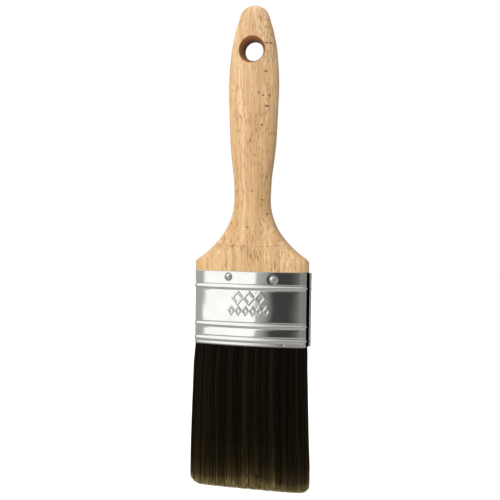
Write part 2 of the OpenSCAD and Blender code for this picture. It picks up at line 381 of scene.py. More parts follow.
def crease_shade_mask(tree, place):
    """Painted shade along the fine crease across the handle's front and back, just above its foot."""
    split = add_node(tree, "ShaderNodeSeparateXYZ", {0: place})
    across = math_node(tree, "MULTIPLY", split.outputs[0], 1 / CREASE_HALF)
    sag = math_node(tree, "MULTIPLY", math_node(tree, "MULTIPLY", across, across), CREASE_RISE)
    level = math_node(tree, "SUBTRACT", split.outputs[2], TOP_Z + BASE_H - CREASE_DIP)
    away = math_node(tree, "ABSOLUTE", math_node(tree, "SUBTRACT", level, sag))
    values = {"Value": away, "From Min": 0.08 * MM, "From Max": 0.38 * MM, "To Min": 0.5, "To Max": 0.0}
    line = add_node(tree, "ShaderNodeMapRange", values).outputs[0]
    values = {"Value": math_node(tree, "ABSOLUTE", across), "From Min": 0.7, "From Max": 0.95}
    ends = add_node(tree, "ShaderNodeMapRange", values).outputs[0]
    return math_node(tree, "MULTIPLY", line, math_node(tree, "SUBTRACT", 1.0, ends))


def bore_mask(tree, place):
    """1 on the wall of the hang hole, 0 elsewhere."""
    flat = add_node(tree, "ShaderNodeVectorMath", {0: place, 1: (1, 0, 1)}, operation="MULTIPLY").outputs[0]
    away = add_node(tree, "ShaderNodeVectorMath", {0: flat}, operation="LENGTH").outputs["Value"]
    values = {"Value": away, "From Min": MOUTH_R, "From Max": MOUTH_R + BORE_RIM, "To Min": 1.0}
    values["To Max"] = 0.0
    return add_node(tree, "ShaderNodeMapRange", values).outputs[0]


def steel(name, roughness, tint):
    """Bright rolled sheet: fine scratches, smudges, and a dark colour for dirt and painted shade where the
    per-point mask says so.
    """
    material, tree, shader = new_material(name, roughness, metallic=1.0)
    place = add_node(tree, "ShaderNodeTexCoord").outputs["Object"]
    shade_and_dirt = add_node(tree, "ShaderNodeAttribute", attribute_name="shade_and_dirt").outputs["Fac"]
    smudges = scaled_noise(tree, place, (90, 90, 140), 3.0, 0.6)
    scratches = scaled_noise(tree, place, (6000, 6000, 150), 2.0)
    smudged = tuple(SMUDGE * level for level in tint)
    tone = mix_colour(tree, ramp(tree, smudges, [(0.4, 0.0), (0.7, 1.0)]), (*tint, 1), (*smudged, 1))
    # Painted shade and dirt: the colour darkens where the per-point mask is high
    dirty_and_shaded = mix_colour(tree, shade_and_dirt, tone, METAL_DIRT_AND_SHADE)
    tree.links.new(dirty_and_shaded, shader.inputs["Base Color"])
    haze = ramp(tree, smudges, [(0.35, roughness), (0.75, roughness + 0.04)])
    rough = math_node(tree, "ADD", haze, math_node(tree, "MULTIPLY", shade_and_dirt, DIRT_AND_SHADE_ROUGHNESS))
    tree.links.new(rough, shader.inputs["Roughness"])
    set_bump(tree, shader, scratches, 0.06, 0.00002)
    return material


def filament_material():
    """Dark filament whose tips turn pale and olive; shade and reach are kept per point."""
    material, tree, shader = new_material("filament", 0.5, specular=0.09)
    reach = add_node(tree, "ShaderNodeAttribute", attribute_name="reach").outputs["Fac"]
    shade = add_node(tree, "ShaderNodeAttribute", attribute_name="shade").outputs["Fac"]
    length = ramp(
        tree,
        reach,
        [
            (0.0, (0.0044, 0.0027, 0.0011)),
            (0.70, (0.0052, 0.0035, 0.0011)),
            (0.86, (0.0100, 0.0074, 0.0026)),
            (0.95, (0.0270, 0.0205, 0.0070)),
            (1.0, (0.1400, 0.1110, 0.0480)),
        ],
    )
    pale = mix_colour(tree, 1.0, length, (5.5, 5.2, 4.8, 1), "MULTIPLY")
    varied = mix_colour(tree, ramp(tree, shade, [(0.4, 0.0), (0.95, 1.0)]), length, pale)
    tree.links.new(varied, shader.inputs["Base Color"])
    rough = ramp(tree, shade, [(0.0, 0.34), (1.0, 0.5)])
    tree.links.new(rough, shader.inputs["Roughness"])
    return material


def plain_noise_material(name, colour, dark, roughness, scale):
    """A dull solid with mottled colour, for what the ferrule hides."""
    material, tree, shader = new_material(name, roughness)
    place = add_node(tree, "ShaderNodeTexCoord").outputs["Object"]
    mottle = scaled_noise(tree, place, scale, 3.0)
    tone = mix_colour(tree, mottle, (*colour, 1), (*dark, 1))
    tree.links.new(tone, shader.inputs["Base Color"])
    set_bump(tree, shader, mottle, 0.3, 0.0002)
    return material


# ---------------------------------------------------------------- the handle
CORNER_SHARP = 0.4 * MM
CORNER_ROUND = 2.1 * MM
CORNER_RISE = 0.8 * MM
HOLE_EDGE_R = 0.6 * MM
FLARE_CURVE = 1.2
GROOVE_HALF = 0.28 * MM
GROOVE_DEPTH = 0.13 * MM
CUTTER_OVERSHOOT = 0.8 * MM


def soft_min(a, b, width):
    """The smaller of two values, rounded where they cross over about that width."""
    mix = np.clip(0.5 + 0.5 * (b - a) / width, 0, 1)
    return b + (a - b) * mix - width * mix * (1 - mix)


def half_width(h, corner, rise=0.0):
    """Half the width of the handle at a height above the ferrule."""
    side = FERRULE_A - 0.1 * MM
    shoulder = SHOULDER_H + rise
    part = (h - shoulder) / (NECK_H - shoulder)
    flare = NECK_A + (side - NECK_A) * np.maximum(1 - part, 0) ** FLARE_POWER
    grip = curve(GRIP, np.clip((h - NECK_H) / (HANDLE_H - NECK_H), 0, 1), 1)
    return np.where(h < NECK_H, soft_min(flare, side, corner), grip)


def half_thickness(h):
    """Half the thickness of the handle at a height above the ferrule."""
    part = np.clip((h - BASE_H) / (NECK_H - BASE_H), 0, 1)
    flare = NECK_B + (FERRULE_B - NECK_B) * (1 - part) ** 2
    grip = curve(GRIP, np.clip((h - NECK_H) / (HANDLE_H - NECK_H), 0, 1), 2)
    return np.where(h < NECK_H, flare, grip)


def side_flat(h):
    """Half the flat that the flare has along its narrow side."""
    return np.where(h < NECK_H, FLARE_FLAT * np.sin(math.pi * h / NECK_H) ** 2, 0)


def edge_radius(h):
    """The radius of the long edges at a height above the ferrule."""
    share = np.where(h < NECK_H, BASE_EDGE + (GRIP_EDGE - BASE_EDGE) * h / NECK_H, GRIP_EDGE)
    return half_thickness(h) * share - side_flat(h)


def handle_sections():
    """Heights above the ferrule, closer together at the shoulder, the crease and the tip."""
    base = np.linspace(0, BASE_H - 2 * MM, 26)
    crease = np.linspace(BASE_H - 2 * MM, BASE_H + 2 * MM, 34)
    flare = np.linspace(BASE_H + 2 * MM, NECK_H, 44)
    grip = NECK_H + (HANDLE_H - NECK_H) * np.sin(np.linspace(0, math.pi / 2, 130))
    return np.concatenate([base, crease[1:], flare[1:], grip[1:]])


def handle_points(around):
    """The rings of the handle, from the tenon's end to its tip."""
    h = handle_sections()[:, None]
    u = (4 * (np.arange(around) + 0.5) / around)[None, :]
    left = half_width(h, CORNER_SHARP)
    right = half_width(h, CORNER_ROUND, CORNER_RISE)
    x, y = oval(left, half_thickness(h), edge_radius(h), side_flat(h), u)
    x = np.where(x > 0, x * right / left, x)
    lowered = h + CREASE_DIP - CREASE_RISE * (x / CREASE_HALF) ** 2
    near_crease = smooth_step(4 * MM, 9 * MM, h) * (1 - smooth_step(22 * MM, 30 * MM, h))
    y = y * (1 + near_crease * (half_thickness(lowered) / half_thickness(h) - 1))
    fade = 1 - smooth_step(0.7 * CREASE_HALF, 0.95 * CREASE_HALF, np.abs(x))
    groove = np.exp(-(((lowered - BASE_H) / GROOVE_HALF) ** 2))
    y = y - np.sign(y) * GROOVE_DEPTH * groove * fade
    z = TOP_Z + h + 0 * x
    tenon_h = np.array([-TENON_H, -TENON_H + 0.5 * MM, -0.02 * MM])[:, None]
    inset = FILL_INSET + np.array([0.5 * MM, 0, 0])[:, None]
    a, b, r = FERRULE_A - inset, FERRULE_B - inset, FERRULE_END_R - inset
    tenon_x, tenon_y = oval(a, b, r, 0, u)
    tenon_z = TOP_Z + tenon_h + 0 * tenon_x
    rings = np.stack([np.concatenate(pair) for pair in ((tenon_x, x), (tenon_y, y), (tenon_z, z))], -1)
    return rings


def skin_y(x, z):
    """The half thickness of the handle's crowned face at a point near the hang hole."""
    h = z - TOP_Z
    a, b, r = half_width(h, CORNER_SHARP), half_thickness(h), edge_radius(h)
    face = ((a - r) ** 2 + b**2 - r**2) / (2 * (b - r))
    return np.sqrt(face**2 - x**2) + b - face


def hole_cutter():
    """The hang hole: a short straight waist, and a flare with a rounded rim to each side."""
    turn = np.linspace(0, 2 * math.pi, 160, endpoint=False)
    opening = np.radians([75, 60, 45, 30, 15, 0])
    grow = HOLE_EDGE_R * (1 - np.cos(opening))
    below = HOLE_EDGE_R * (1 - np.sin(opening))
    grow = np.concatenate([[grow[0] + CUTTER_OVERSHOOT * math.tan(opening[0])], grow])
    below = np.concatenate([[below[0] - CUTTER_OVERSHOOT], below])
    skin = skin_y(MOUTH_R * np.cos(turn), MOUTH_R * np.sin(turn))
    end_y = 1.3 * BELLY_B
    wide = MOUTH_R + grow[0]
    rows = []
    for side in (-1, 1):
        half = [np.stack([wide * np.cos(turn), side * (end_y + 0 * turn), wide * np.sin(turn)], -1)]
        for g, d in zip(grow, below):
            radius = MOUTH_R + g
            half.append(np.stack([radius * np.cos(turn), side * (skin - d), radius * np.sin(turn)], -1))
        for share in (0.8, 0.6, 0.4, 0.2, 0.0):
            radius = WAIST_R + (MOUTH_R - WAIST_R) * share ** FLARE_CURVE
            depth = HOLE_LAND / 2 + (skin - HOLE_EDGE_R - HOLE_LAND / 2) * share
            half.append(np.stack([radius * np.cos(turn), side * depth, radius * np.sin(turn)], -1))
        rows += half if side < 0 else half[::-1]
    points = np.concatenate(rows)
    faces = ring_faces(len(rows), len(turn))
    faces.append(list(range(len(turn)))[::-1])
    faces.append(list(range((len(rows) - 1) * len(turn), len(rows) * len(turn))))
    return points, faces


def make_handle(material):
    """The beech handle, with the hang hole cut through it."""
    around = 208
    rings = handle_points(around)
    faces = ring_faces(len(rings), around)
    faces.append(list(range(around))[::-1])
    points = rings.reshape(-1, 3)
    faces += crown_faces(len(rings), around)
    centre = np.array([[0, 0, TOP_Z + HANDLE_H]])
    handle = new_piece("beech_handle", np.concatenate([points, centre]), faces, material)
    cutter = new_piece("hole_cutter", *hole_cutter(), material)
    cutter.data.flip_normals()
    cut = handle.modifiers.new("hang_hole", "BOOLEAN")
    cut.operation = "DIFFERENCE"
    cut.solver = "EXACT"
    cut.object = cutter
    apply_modifiers(handle)
    bpy.data.objects.remove(cutter)
    handle.data.set_sharp_from_angle(angle=math.radians(40))
    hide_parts("handle")
    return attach(handle, "brush")


def crown_faces(rings, around):
    """A fan from the last ring to the point that follows all the rings."""
    last = (rings - 1) * around
    return [[last + i, last + (i + 1) % around, rings * around] for i in range(around)]


def apply_modifiers(piece):
    """Each modifier becomes part of the mesh."""
    graph = bpy.context.evaluated_depsgraph_get()
    mesh = bpy.data.meshes.new_from_object(piece.evaluated_get(graph))
    piece.modifiers.clear()
    piece.data = mesh


# ---------------------------------------------------------------- the ferrule
TOP_CURL = 0.12 * MM
LIP_PROUD = 0.14 * MM
LIP_DROP = FERRULE_H - 0.8 * MM
LIP_CURL = 0.25 * MM
MARK_PROUD = 0.2 * MM
NAIL_RECESS = 0.12 * MM
DENT = (18.5 * MM, FERRULE_H - 1.3 * MM, 0.35 * MM)
SEAM_GAP_X = SEAM_PROUD - 0.4 * MM
SEAM_END_GAP = 0.5 * MM
SEAM_EDGE_R = 0.2 * MM
SEAM_CORNER_R = 0.4 * MM
BIG_LOZENGES = (-5.8 * MM, 0.4 * MM, 6.6 * MM)
BIG_LOZENGE = (14.3 * MM, 2.7 * MM, 3.3 * MM)
SMALL_PITCH = 3.9 * MM
SMALL_COUNT = 6
SMALL_LOZENGE = (21.2 * MM, 1.4 * MM, 2.1 * MM)


def spaced(low, high, spacing):
    """Places from low to high whose distances follow spacing, a function of the place."""
    fine = np.linspace(low, high, 6000)
    steps = 1 / spacing(fine)
    count = np.concatenate([[0], np.cumsum((steps[1:] + steps[:-1]) / 2 * np.diff(fine))])
    return np.interp(np.linspace(0, count[-1], int(count[-1]) + 1), count, fine)


def ferrule_round(path_x, path_y, path_s):
    """Distances round the sheet, closest together where the front is embossed and nailed."""

    def spacing(s):
        x = np.interp(s, path_s, path_x)
        y = np.interp(s, path_s, path_y)
        wide = np.where(np.abs(x) < 15.5 * MM, np.where(y < 0, 0.21 * MM, 0.32 * MM), 0.7 * MM)
        return np.where(np.abs(x) > FERRULE_A - FERRULE_END_R, 0.3 * MM, wide)

    return spaced(0, path_s[-1], spacing)[:-1]


def ferrule_drops():
    """Distances below the ferrule's top edge, closest together at its edges and beads."""

    def spacing(drop):
        gap = np.full_like(drop, 0.6 * MM)
        gap = np.where((drop > 10.5 * MM) & (drop < 24 * MM), 0.21 * MM, gap)
        gap = np.where(drop < 7 * MM, 0.24 * MM, gap)
        for bead in BEAD_DROPS:
            gap = np.where(np.abs(drop - bead) < 1.9 * MM, 0.13 * MM, gap)
        at_edge = (drop < 0.6 * MM) | (drop > FERRULE_H - 1.7 * MM)
        return np.where(at_edge, 0.1 * MM, gap)

    return spaced(0, FERRULE_H, spacing)


def bead_height(drop):
    """How far the three pressed beads, the curled edges and the lip stand out."""
    height = np.zeros_like(drop)
    for bead in BEAD_DROPS:
        off = np.abs(drop - bead)
        ridge = 0.5 * (1 + np.cos(math.pi * np.clip(off / (BEAD_W / 2), 0, 1)))
        groove = np.exp(-(((off - 0.62 * BEAD_W) / (0.3 * MM)) ** 2))
        height += BEAD_PROUD * ridge - 0.07 * MM * groove
    height += LIP_PROUD * np.exp(-(((drop - LIP_DROP) / (0.45 * MM)) ** 2))
    height -= LIP_CURL * smooth_step(FERRULE_H - 0.35 * MM, FERRULE_H, drop)
    height -= TOP_CURL * (1 - smooth_step(0, 0.35 * MM, drop))
    return height


def lozenge_height(x, drop, centre, size, line):
    """1 along a lozenge's outline and 0 away from it, for a line of that half width."""
    middle_drop, half_w, half_h = size
    reach = np.abs(x - centre) / half_w + np.abs(drop - middle_drop) / half_h
    off = np.abs(reach - 1) * half_w * half_h / math.hypot(half_w, half_h)
    return 1 - smooth_step(0.4 * line, 1.1 * line, off)


def mark_height(x, drop):
    """A plain raised ornament: three lozenges over a row of small ones."""
    height = np.zeros_like(x)
    for centre in BIG_LOZENGES:
        height = np.maximum(height, lozenge_height(x, drop, centre, BIG_LOZENGE, 0.62 * MM))
    for k in range(SMALL_COUNT):
        centre = BIG_LOZENGES[1] + (k - (SMALL_COUNT - 1) / 2) * SMALL_PITCH
        height = np.maximum(height, lozenge_height(x, drop, centre, SMALL_LOZENGE, 0.46 * MM))
    return MARK_PROUD * height


def sheet_waves(s, drop):
    """The faint unevenness of rolled sheet, which breaks up what it reflects."""
    waves = np.zeros_like(s)
    for _ in range(9):
        round_pitch, high_pitch = RNG.uniform(11, 34, 2) * MM
        phase, lean = RNG.uniform(0, 2 * math.pi), RNG.choice([-1, 1])
        turn = 2 * math.pi * (s / round_pitch + lean * drop / high_pitch) + phase
        waves += 0.0045 * MM * np.sin(turn)
    return waves


def ferrule_surface(x, y, s, drop):
    """How far the sheet stands out from the plain oval, and how much dark dirt and painted shade it carries,
    at each point.
    """
    front = y < 0
    out = bead_height(drop) + sheet_waves(s, drop)
    out += np.where(front, mark_height(x, drop), 0)
    # Painted shade along the top and bottom edges, where the sheet meets the wood and the filaments
    shade_and_dirt = 0.5 * (1 - smooth_step(0, 0.5 * MM, drop)) + 0.5 * smooth_step(LIP_DROP, FERRULE_H, drop)
    for nail_x, nail_drop, side in NAILS:
        away = np.hypot(x - nail_x, drop - nail_drop)
        near = np.where(front == (side < 0), 1 - smooth_step(1.2 * MM, 3.2 * MM, away), 0)
        out -= NAIL_RECESS * near
        # Painted shade: a dark ring round each nail head
        shade_and_dirt += np.where(front == (side < 0), 0.75 * (1 - smooth_step(1.9 * MM, 2.5 * MM, away)), 0)
    dent = np.exp(-(((x - DENT[0]) / (1.1 * MM)) ** 2) - ((drop - DENT[1]) / (0.45 * MM)) ** 2)
    out -= np.where(front, DENT[2] * dent, 0)
    # Painted shade in the dent
    shade_and_dirt += np.where(front, 1.2 * dent, 0)
    return out, np.clip(shade_and_dirt, 0, 1)


def sheet_tube():
    """The sheet bent round the brush: points, faces and each point's dirt and painted shade."""
    u = np.linspace(0, 4, 6001)
    path_x, path_y = oval(FERRULE_A, FERRULE_B, FERRULE_END_R, 0.0, u % 4)
    path_s = np.concatenate([[0], np.cumsum(np.hypot(np.diff(path_x), np.diff(path_y)))])
    s = ferrule_round(path_x, path_y, path_s)
    tangent_x = np.gradient(path_x, path_s)
    tangent_y = np.gradient(path_y, path_s)
    x, y = np.interp(s, path_s, path_x), np.interp(s, path_s, path_y)
    normal = np.stack([np.interp(s, path_s, tangent_y), -np.interp(s, path_s, tangent_x)])
    normal /= np.hypot(*normal)
    drop = ferrule_drops()[:, None]
    grid_x, grid_y, grid_s = (np.broadcast_to(v, (len(drop), len(s))) for v in (x, y, s))
    out, shade_and_dirt = ferrule_surface(grid_x, grid_y, grid_s, drop + 0 * grid_x)
    inner_drop = np.linspace(FERRULE_H, 0, 12)[:, None]
    inner_out = np.full((len(inner_drop), len(x)), -SHEET_T)
    # Painted shade: the inside of the sheet is dark all over
    inner_shade = np.ones_like(inner_out)
    out = np.concatenate([out, inner_out])
    shade_and_dirt = np.concatenate([shade_and_dirt, inner_shade])
    drops = np.concatenate([drop, inner_drop]) + 0 * out
    points = np.stack([x + normal[0] * out, y + normal[1] * out, TOP_Z - drops], -1)
    rows, around = out.shape
    faces = ring_faces(rows, around)
    last = (rows - 1) * around
    closing = [[last + i, last + (i + 1) % around, (i + 1) % around, i] for i in range(around)]
    return points.reshape(-1, 3), [f[::-1] for f in faces + closing], shade_and_dirt.ravel()


def seam_outline():
    """The folded strip seen from above: a flat plate over an open slot, closed at the back."""
    edge, corner = SEAM_EDGE_R, SEAM_CORNER_R
    outer = FERRULE_A + SEAM_PROUD
    under = FERRULE_A + SEAM_GAP_X
    back_y = SEAM_HALF
    points = []
    for turn in np.linspace(-math.pi / 2, math.pi / 2, 7):
        points.append((outer - edge + edge * math.sin(turn), -SEAM_HALF + edge - edge * math.cos(turn)))
    for turn in np.linspace(0, math.pi / 2, 6):
        points.append((outer - corner + corner * math.cos(turn), back_y - corner + corner * math.sin(turn)))
    points.append((FERRULE_A - 0.75 * MM, back_y))
    points.append((FERRULE_A - 0.3 * MM, back_y - 1.2 * MM))
    points.append((under - 0.15 * MM, back_y - 1.1 * MM))
    points.append((under, back_y - 1.3 * MM))
    path = np.array(points)
    closed = np.vstack([path, path[:1]])
    lengths = np.concatenate([[0], np.cumsum(np.hypot(*np.diff(closed, axis=0).T))])
    even = np.unique(np.concatenate([lengths[:-1], np.linspace(0, lengths[-1], 50)[:-1]]))
    return np.stack([np.interp(even, lengths, closed[:, k]) for k in (0, 1)], -1)


def seam_strip():
    """The seam's fold down the narrow end, with the beads pressed faintly through it."""
    outline = seam_outline()
    drop = spaced(SEAM_END_GAP, FERRULE_H - SEAM_END_GAP, lambda d: np.full_like(d, 0.25 * MM))
    rings, shade_and_dirt = [], []
    for d in drop:
        end = min(d - drop[0], drop[-1] - d)
        shrink = 0.1 * MM * (1 - float(smooth_step(0, 0.3 * MM, end)))
        pressed = 0.2 * float(np.clip(bead_height(np.array([d]))[0], 0, None))
        x = outline[:, 0] + np.where(outline[:, 0] > FERRULE_A, pressed - shrink, 0)
        rings.append(np.stack([x, outline[:, 1], np.full(len(outline), TOP_Z - d)], -1))
        # Painted shade: the slot under the seam's plate is dark
        inside = outline[:, 0] < FERRULE_A + SEAM_GAP_X + 0.08 * MM
        shade_and_dirt.append(np.where(inside, 1.0, 0.0))
    around = len(outline)
    faces = ring_faces(len(rings), around)
    faces.append(list(range(around))[::-1])
    faces.append(list(range((len(rings) - 1) * around, len(rings) * around)))
    return np.concatenate(rings), [f[::-1] for f in faces], np.concatenate(shade_and_dirt)


def seam_painted_shade(points):
    """Painted shade on the sheet's narrow end, beside and under the seam's plate."""
    beside = 1 - smooth_step(SEAM_HALF + 0.1 * MM, SEAM_HALF + 0.7 * MM, np.abs(points[:, 1]))
    return np.where(points[:, 0] > FERRULE_A - 1.2 * MM, beside, 0)


def make_ferrule(material):
    """The ferrule: the bent sheet and its folded seam, with the dirt and painted shade kept per point."""
    points, faces, shade_and_dirt = sheet_tube()
    shade_and_dirt = np.maximum(shade_and_dirt, seam_painted_shade(points))
    strip_points, strip_faces, strip_shade = seam_strip()
    moved = [[i + len(points) for i in face] for face in strip_faces]
    ferrule = new_piece("ferrule_sheet", np.concatenate([points, strip_points]), faces + moved, material)
    dark_layer = ferrule.data.attributes.new("shade_and_dirt", "FLOAT", "POINT")
    dark_layer.data.foreach_set("value", np.concatenate([shade_and_dirt, strip_shade]).astype(np.float32))
    ferrule.data.set_sharp_from_angle(angle=math.radians(50))
    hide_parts("ferrule")
    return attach(ferrule, "brush")


# ---------------------------------------------------------------- the filaments
FILAMENT_R = 0.155 * MM
FILAMENT_PITCH = 0.3 * MM
ROOT_RISE = 4 * MM
SHADES = 64
SIDES = 3
STATIONS = np.array([0, 0.09, 0.2, 0.32, 0.45, 0.58, 0.72, 0.86, 0.95, 1])
BANK_HALF = 3.8 * MM / 2
BAKE_MAP = "OFBake"
TUFT_LEAN = -0.45 * MM
CORNER_LEFT = 7.5 * MM
CORNER_RIGHT = 5.2 * MM


def filament_roots():
    """Places of the filaments in the mouth: a jittered triangular grid inside the oval."""
    a, b = TUFT[0][1] - FILAMENT_R, TUFT[0][2] - FILAMENT_R
    rows = np.arange(-b, b, FILAMENT_PITCH * math.sqrt(3) / 2)
    columns = np.arange(-a, a, FILAMENT_PITCH)
    x, y = np.meshgrid(columns, rows)
    x = x + np.where(np.arange(len(rows)) % 2 == 0, 0, FILAMENT_PITCH / 2)[:, None]
    x = (x + RNG.uniform(-0.3, 0.3, x.shape) * FILAMENT_PITCH).ravel()
    y = (y + RNG.uniform(-0.3, 0.3, y.shape) * FILAMENT_PITCH).ravel()
    r = FERRULE_END_R - FILL_INSET
    face = ((a - r) ** 2 + b**2 - r**2) / (2 * (b - r))
    in_faces = np.abs(y) < np.sqrt(face**2 - np.minimum(np.abs(x), face) ** 2) + b - face
    on_end = np.abs(x) > a - r
    in_end = np.hypot(np.abs(x) - (a - r), y) < r
    keep = np.where(on_end, in_end, in_faces & (np.abs(x) < a))
    return x[keep], y[keep]


def tuft_half(share):
    """Half width and half thickness of the tuft where its filaments run, at a share of its length."""
    rows = TUFT[:4] + [(1.05, TIP_A - 0.2 * MM, 0.9 * TIP_B)]
    return curve(rows, share, 1), curve(rows, share, 2)


def tip_shares(x, y):
    """The share of the tuft's length at which each filament ends, so that the tips form a chisel."""
    share = np.linspace(0.8, 1.0, 160)[None, :]
    a, b = tuft_half(share)
    above_tips = (1 - share) * TUFT_H
    corner = np.where(x < 0, CORNER_LEFT, CORNER_RIGHT)[:, None]
    bitten = np.clip(1 - above_tips / corner, 0, 1)
    limit_a = TIP_A - corner * (1 - (1 - bitten**2.3) ** (1 / 2.3))
    limit_b = np.interp(share, [row[0] for row in TUFT], [row[2] for row in TUFT])
    across = np.abs(x[:, None]) / TUFT[0][1] * a / limit_a
    deep = np.abs(y[:, None]) / TUFT[0][2] * b / limit_b
    inside = across**3.5 + deep**3.5 <= 1
    last = np.where(inside.any(1), inside.shape[1] - 1 - np.argmax(inside[:, ::-1], axis=1), 0)
    return share[0, last]


def value_noise(x, y, cell, seed):
    """Smooth noise from -1 to 1 whose features are about a cell across."""
    grid = np.random.default_rng(seed).uniform(-1, 1, (128, 128))
    gx, gy = x / cell + 64, y / cell + 64
    ix, iy = np.floor(gx).astype(int), np.floor(gy).astype(int)
    fx, fy = smooth_step(0, 1, gx - ix), smooth_step(0, 1, gy - iy)
    low = grid[ix % 128, iy % 128] * (1 - fx) + grid[(ix + 1) % 128, iy % 128] * fx
    high = grid[ix % 128, (iy + 1) % 128] * (1 - fx) + grid[(ix + 1) % 128, (iy + 1) % 128] * fx
    return low * (1 - fy) + high * fy


def filament_paths(x, y):
    """The centres of every filament at each station, and how far its point is from its tip."""
    count = len(x)
    end = tip_shares(x, y) + RNG.normal(0, 0.004, count)
    short = RNG.random(count) < 0.08
    end = np.minimum(end - short * RNG.uniform(0, 0.06, count), 1.0)[:, None]
    start = -ROOT_RISE / TUFT_H
    share = start + (end - start) * STATIONS
    a, b = tuft_half(np.clip(share, 0, None))
    grown = np.clip(share, 0, None)
    clump_x = value_noise(x, y, 2.6 * MM, 11) + 0.5 * value_noise(x, y, 1.1 * MM, 12)
    clump_y = value_noise(x, y, 2.6 * MM, 13) + 0.5 * value_noise(x, y, 1.1 * MM, 14)
    sway = RNG.normal(0, 0.09, (2, count, 1)) * MM
    phase = RNG.uniform(0, 2 * math.pi, (2, count, 1))
    pitch = RNG.uniform(0.6, 1.5, (2, count, 1))
    fan = RNG.normal(0, 0.2, (2, count, 1)) * MM
    wave = sway * np.sin(2 * math.pi * pitch * grown + phase) * grown + fan * grown**2
    lean = TUFT_LEAN * smooth_step(0, 0.12, grown) * (1 - 0.55 * smooth_step(0.55, 0.95, grown))
    path_x = (x / TUFT[0][1])[:, None] * a + lean + wave[0] + 0.16 * MM * clump_x[:, None] * grown
    path_y = (y / TUFT[0][2])[:, None] * b + wave[1] + 0.12 * MM * clump_y[:, None] * grown
    z = MOUTH_Z - share * TUFT_H
    reach = 1 - (end - share)
    return np.stack([path_x, path_y, z], -1), reach


def filament_tubes(paths, radii):
    """A tapering three-sided tube along each path: its points and its faces."""
    count, stations = paths.shape[:2]
    turn = RNG.uniform(0, 2 * math.pi, (count, 1, 1)) + np.arange(SIDES) * 2 * math.pi / SIDES
    ring = np.stack([np.cos(turn), np.sin(turn), np.zeros_like(turn)], -1)
    points = paths[:, :, None, :] + ring * radii[:, :, None, None]
    first = (np.arange(count) * stations * SIDES)[:, None, None]
    station = (np.arange(stations - 1) * SIDES)[None, :, None]
    side = np.arange(SIDES)[None, None, :]
    after = (side + 1) % SIDES
    low, high = first + station, first + station + SIDES
    quads = np.stack([low + side, high + side, high + after, low + after], -1).reshape(-1, 4)
    ends = first[:, 0, :]
    top = ends + np.arange(SIDES)
    tip = ends + (stations - 1) * SIDES + np.arange(SIDES)[::-1]
    return points.reshape(-1, 3), quads, np.concatenate([top, tip])


def make_bank(name, node, x, y, material):
    """One bank of filaments as one piece, with their shade, reach and bake map."""
    paths, reach = filament_paths(x, y)
    count, stations = reach.shape
    thin = np.interp(reach, [0, 0.75, 0.97, 1], [1.0, 0.92, 0.55, 0.3])
    size = RNG.uniform(0.85, 1.12, (count, 1))
    points, quads, caps = filament_tubes(paths, FILAMENT_R * thin * size)
    faces = quads.tolist() + caps.tolist()
    bank = new_piece(name, points, faces, material)
    shade = 0.47 + 0.25 * RNG.normal(0, 1, count) + 0.35 * value_noise(x, y, 0.5 * MM, 15)
    bucket = np.clip((shade * SHADES).astype(int), 0, SHADES - 1)
    per_point = np.repeat((bucket + 0.5) / SHADES, stations * SIDES)
    reach_point = np.repeat(reach.ravel(), SIDES)
    for label, values in (("shade", per_point), ("reach", reach_point)):
        made = bank.data.attributes.new(label, "FLOAT", "POINT")
        made.data.foreach_set("value", values.astype(np.float32))
    add_bake_map(bank.data, per_point, reach_point)
    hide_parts(node)
    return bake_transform(bank)


def add_bake_map(mesh, across, along):
    """A map that gives every filament of one shade the same strip, since they look alike."""
    corners = np.zeros(len(mesh.loops), np.int32)
    mesh.loops.foreach_get("vertex_index", corners)
    side = corners % SIDES - (SIDES - 1) / 2
    u = across[corners] + side * 0.3 / SHADES
    v = 0.01 + 0.98 * np.clip(along[corners], 0, 1)
    layer = mesh.uv_layers.new(name=BAKE_MAP)
    layer.data.foreach_set("uv", np.stack([u, v], -1).astype(np.float32).ravel())


def make_tuft(material):
    """The filaments, in three banks: front, middle and rear."""
    x, y = filament_roots()
    banks = (
        ("filaments_front", "filament_bank_front", y < -BANK_HALF),
        ("filaments_middle", "filament_bank_middle", np.abs(y) <= BANK_HALF),
        ("filaments_rear", "filament_bank_rear", y > BANK_HALF),
    )
    for name, node, chosen in banks:
        make_bank(name, node, x[chosen], y[chosen], material)


# ---------------------------------------------------------------- the carried-over CAD nodes
def set_material(node, material):
    """One material for a piece of the frame."""
    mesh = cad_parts[node].data
    mesh.materials.clear()
    mesh.materials.append(material)


def finish_nodes():
    """Materials for the nails, and for what the ferrule hides."""
    nail = steel("nail_steel", 0.16, (0.82, 0.81, 0.78))
    resin = plain_noise_material("resin", (0.42, 0.24, 0.06), (0.30, 0.15, 0.03), 0.25, (300, 300, 300))
    plug = plain_noise_material("plug_wood", (0.62, 0.44, 0.25), (0.45, 0.30, 0.15), 0.6, (400, 400, 60))
    roots = plain_noise_material("roots", (0.012, 0.009, 0.006), (0.004, 0.003, 0.002), 0.6, (2500, 2500, 60))
    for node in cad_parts:
        if node.startswith("nail"):
            set_material(node, nail)
        if node.startswith("resin"):
            set_material(node, resin)
        if node.startswith("spacer"):
            set_material(node, plug)
        if node.startswith("filament_roots"):
            set_material(node, roots)


# ---------------------------------------------------------------- the studio
CAMERA_TURN = math.radians(13.70)
CAMERA_RISE = math.radians(1.82)
CAMERA_ROLL = math.radians(0.74)
CAMERA_AWAY = 431.3 * MM
CAMERA_AIM = Vector((-1.1, 0, -107.635)) * MM
CAMERA_LENS = 56.75
FLOOR_GAP = 55 * MM
FLOOR_R = 2.5
FLOOR_GLOW = 0.3

# A surround's brightness, and soft panels on it. A panel is the azimuth of its middle from the
# front, its half width and its soft edge, in degrees, and its brightness.
HORIZON = (0.42, [(90, 75, 20, 0.24), (4, 4, 8, 0.05), (-24, 13, 2, 1.14)])
ABOVE = (0.35, [(-60, 35, 30, 1.1)])
BELOW = (0.4, [])
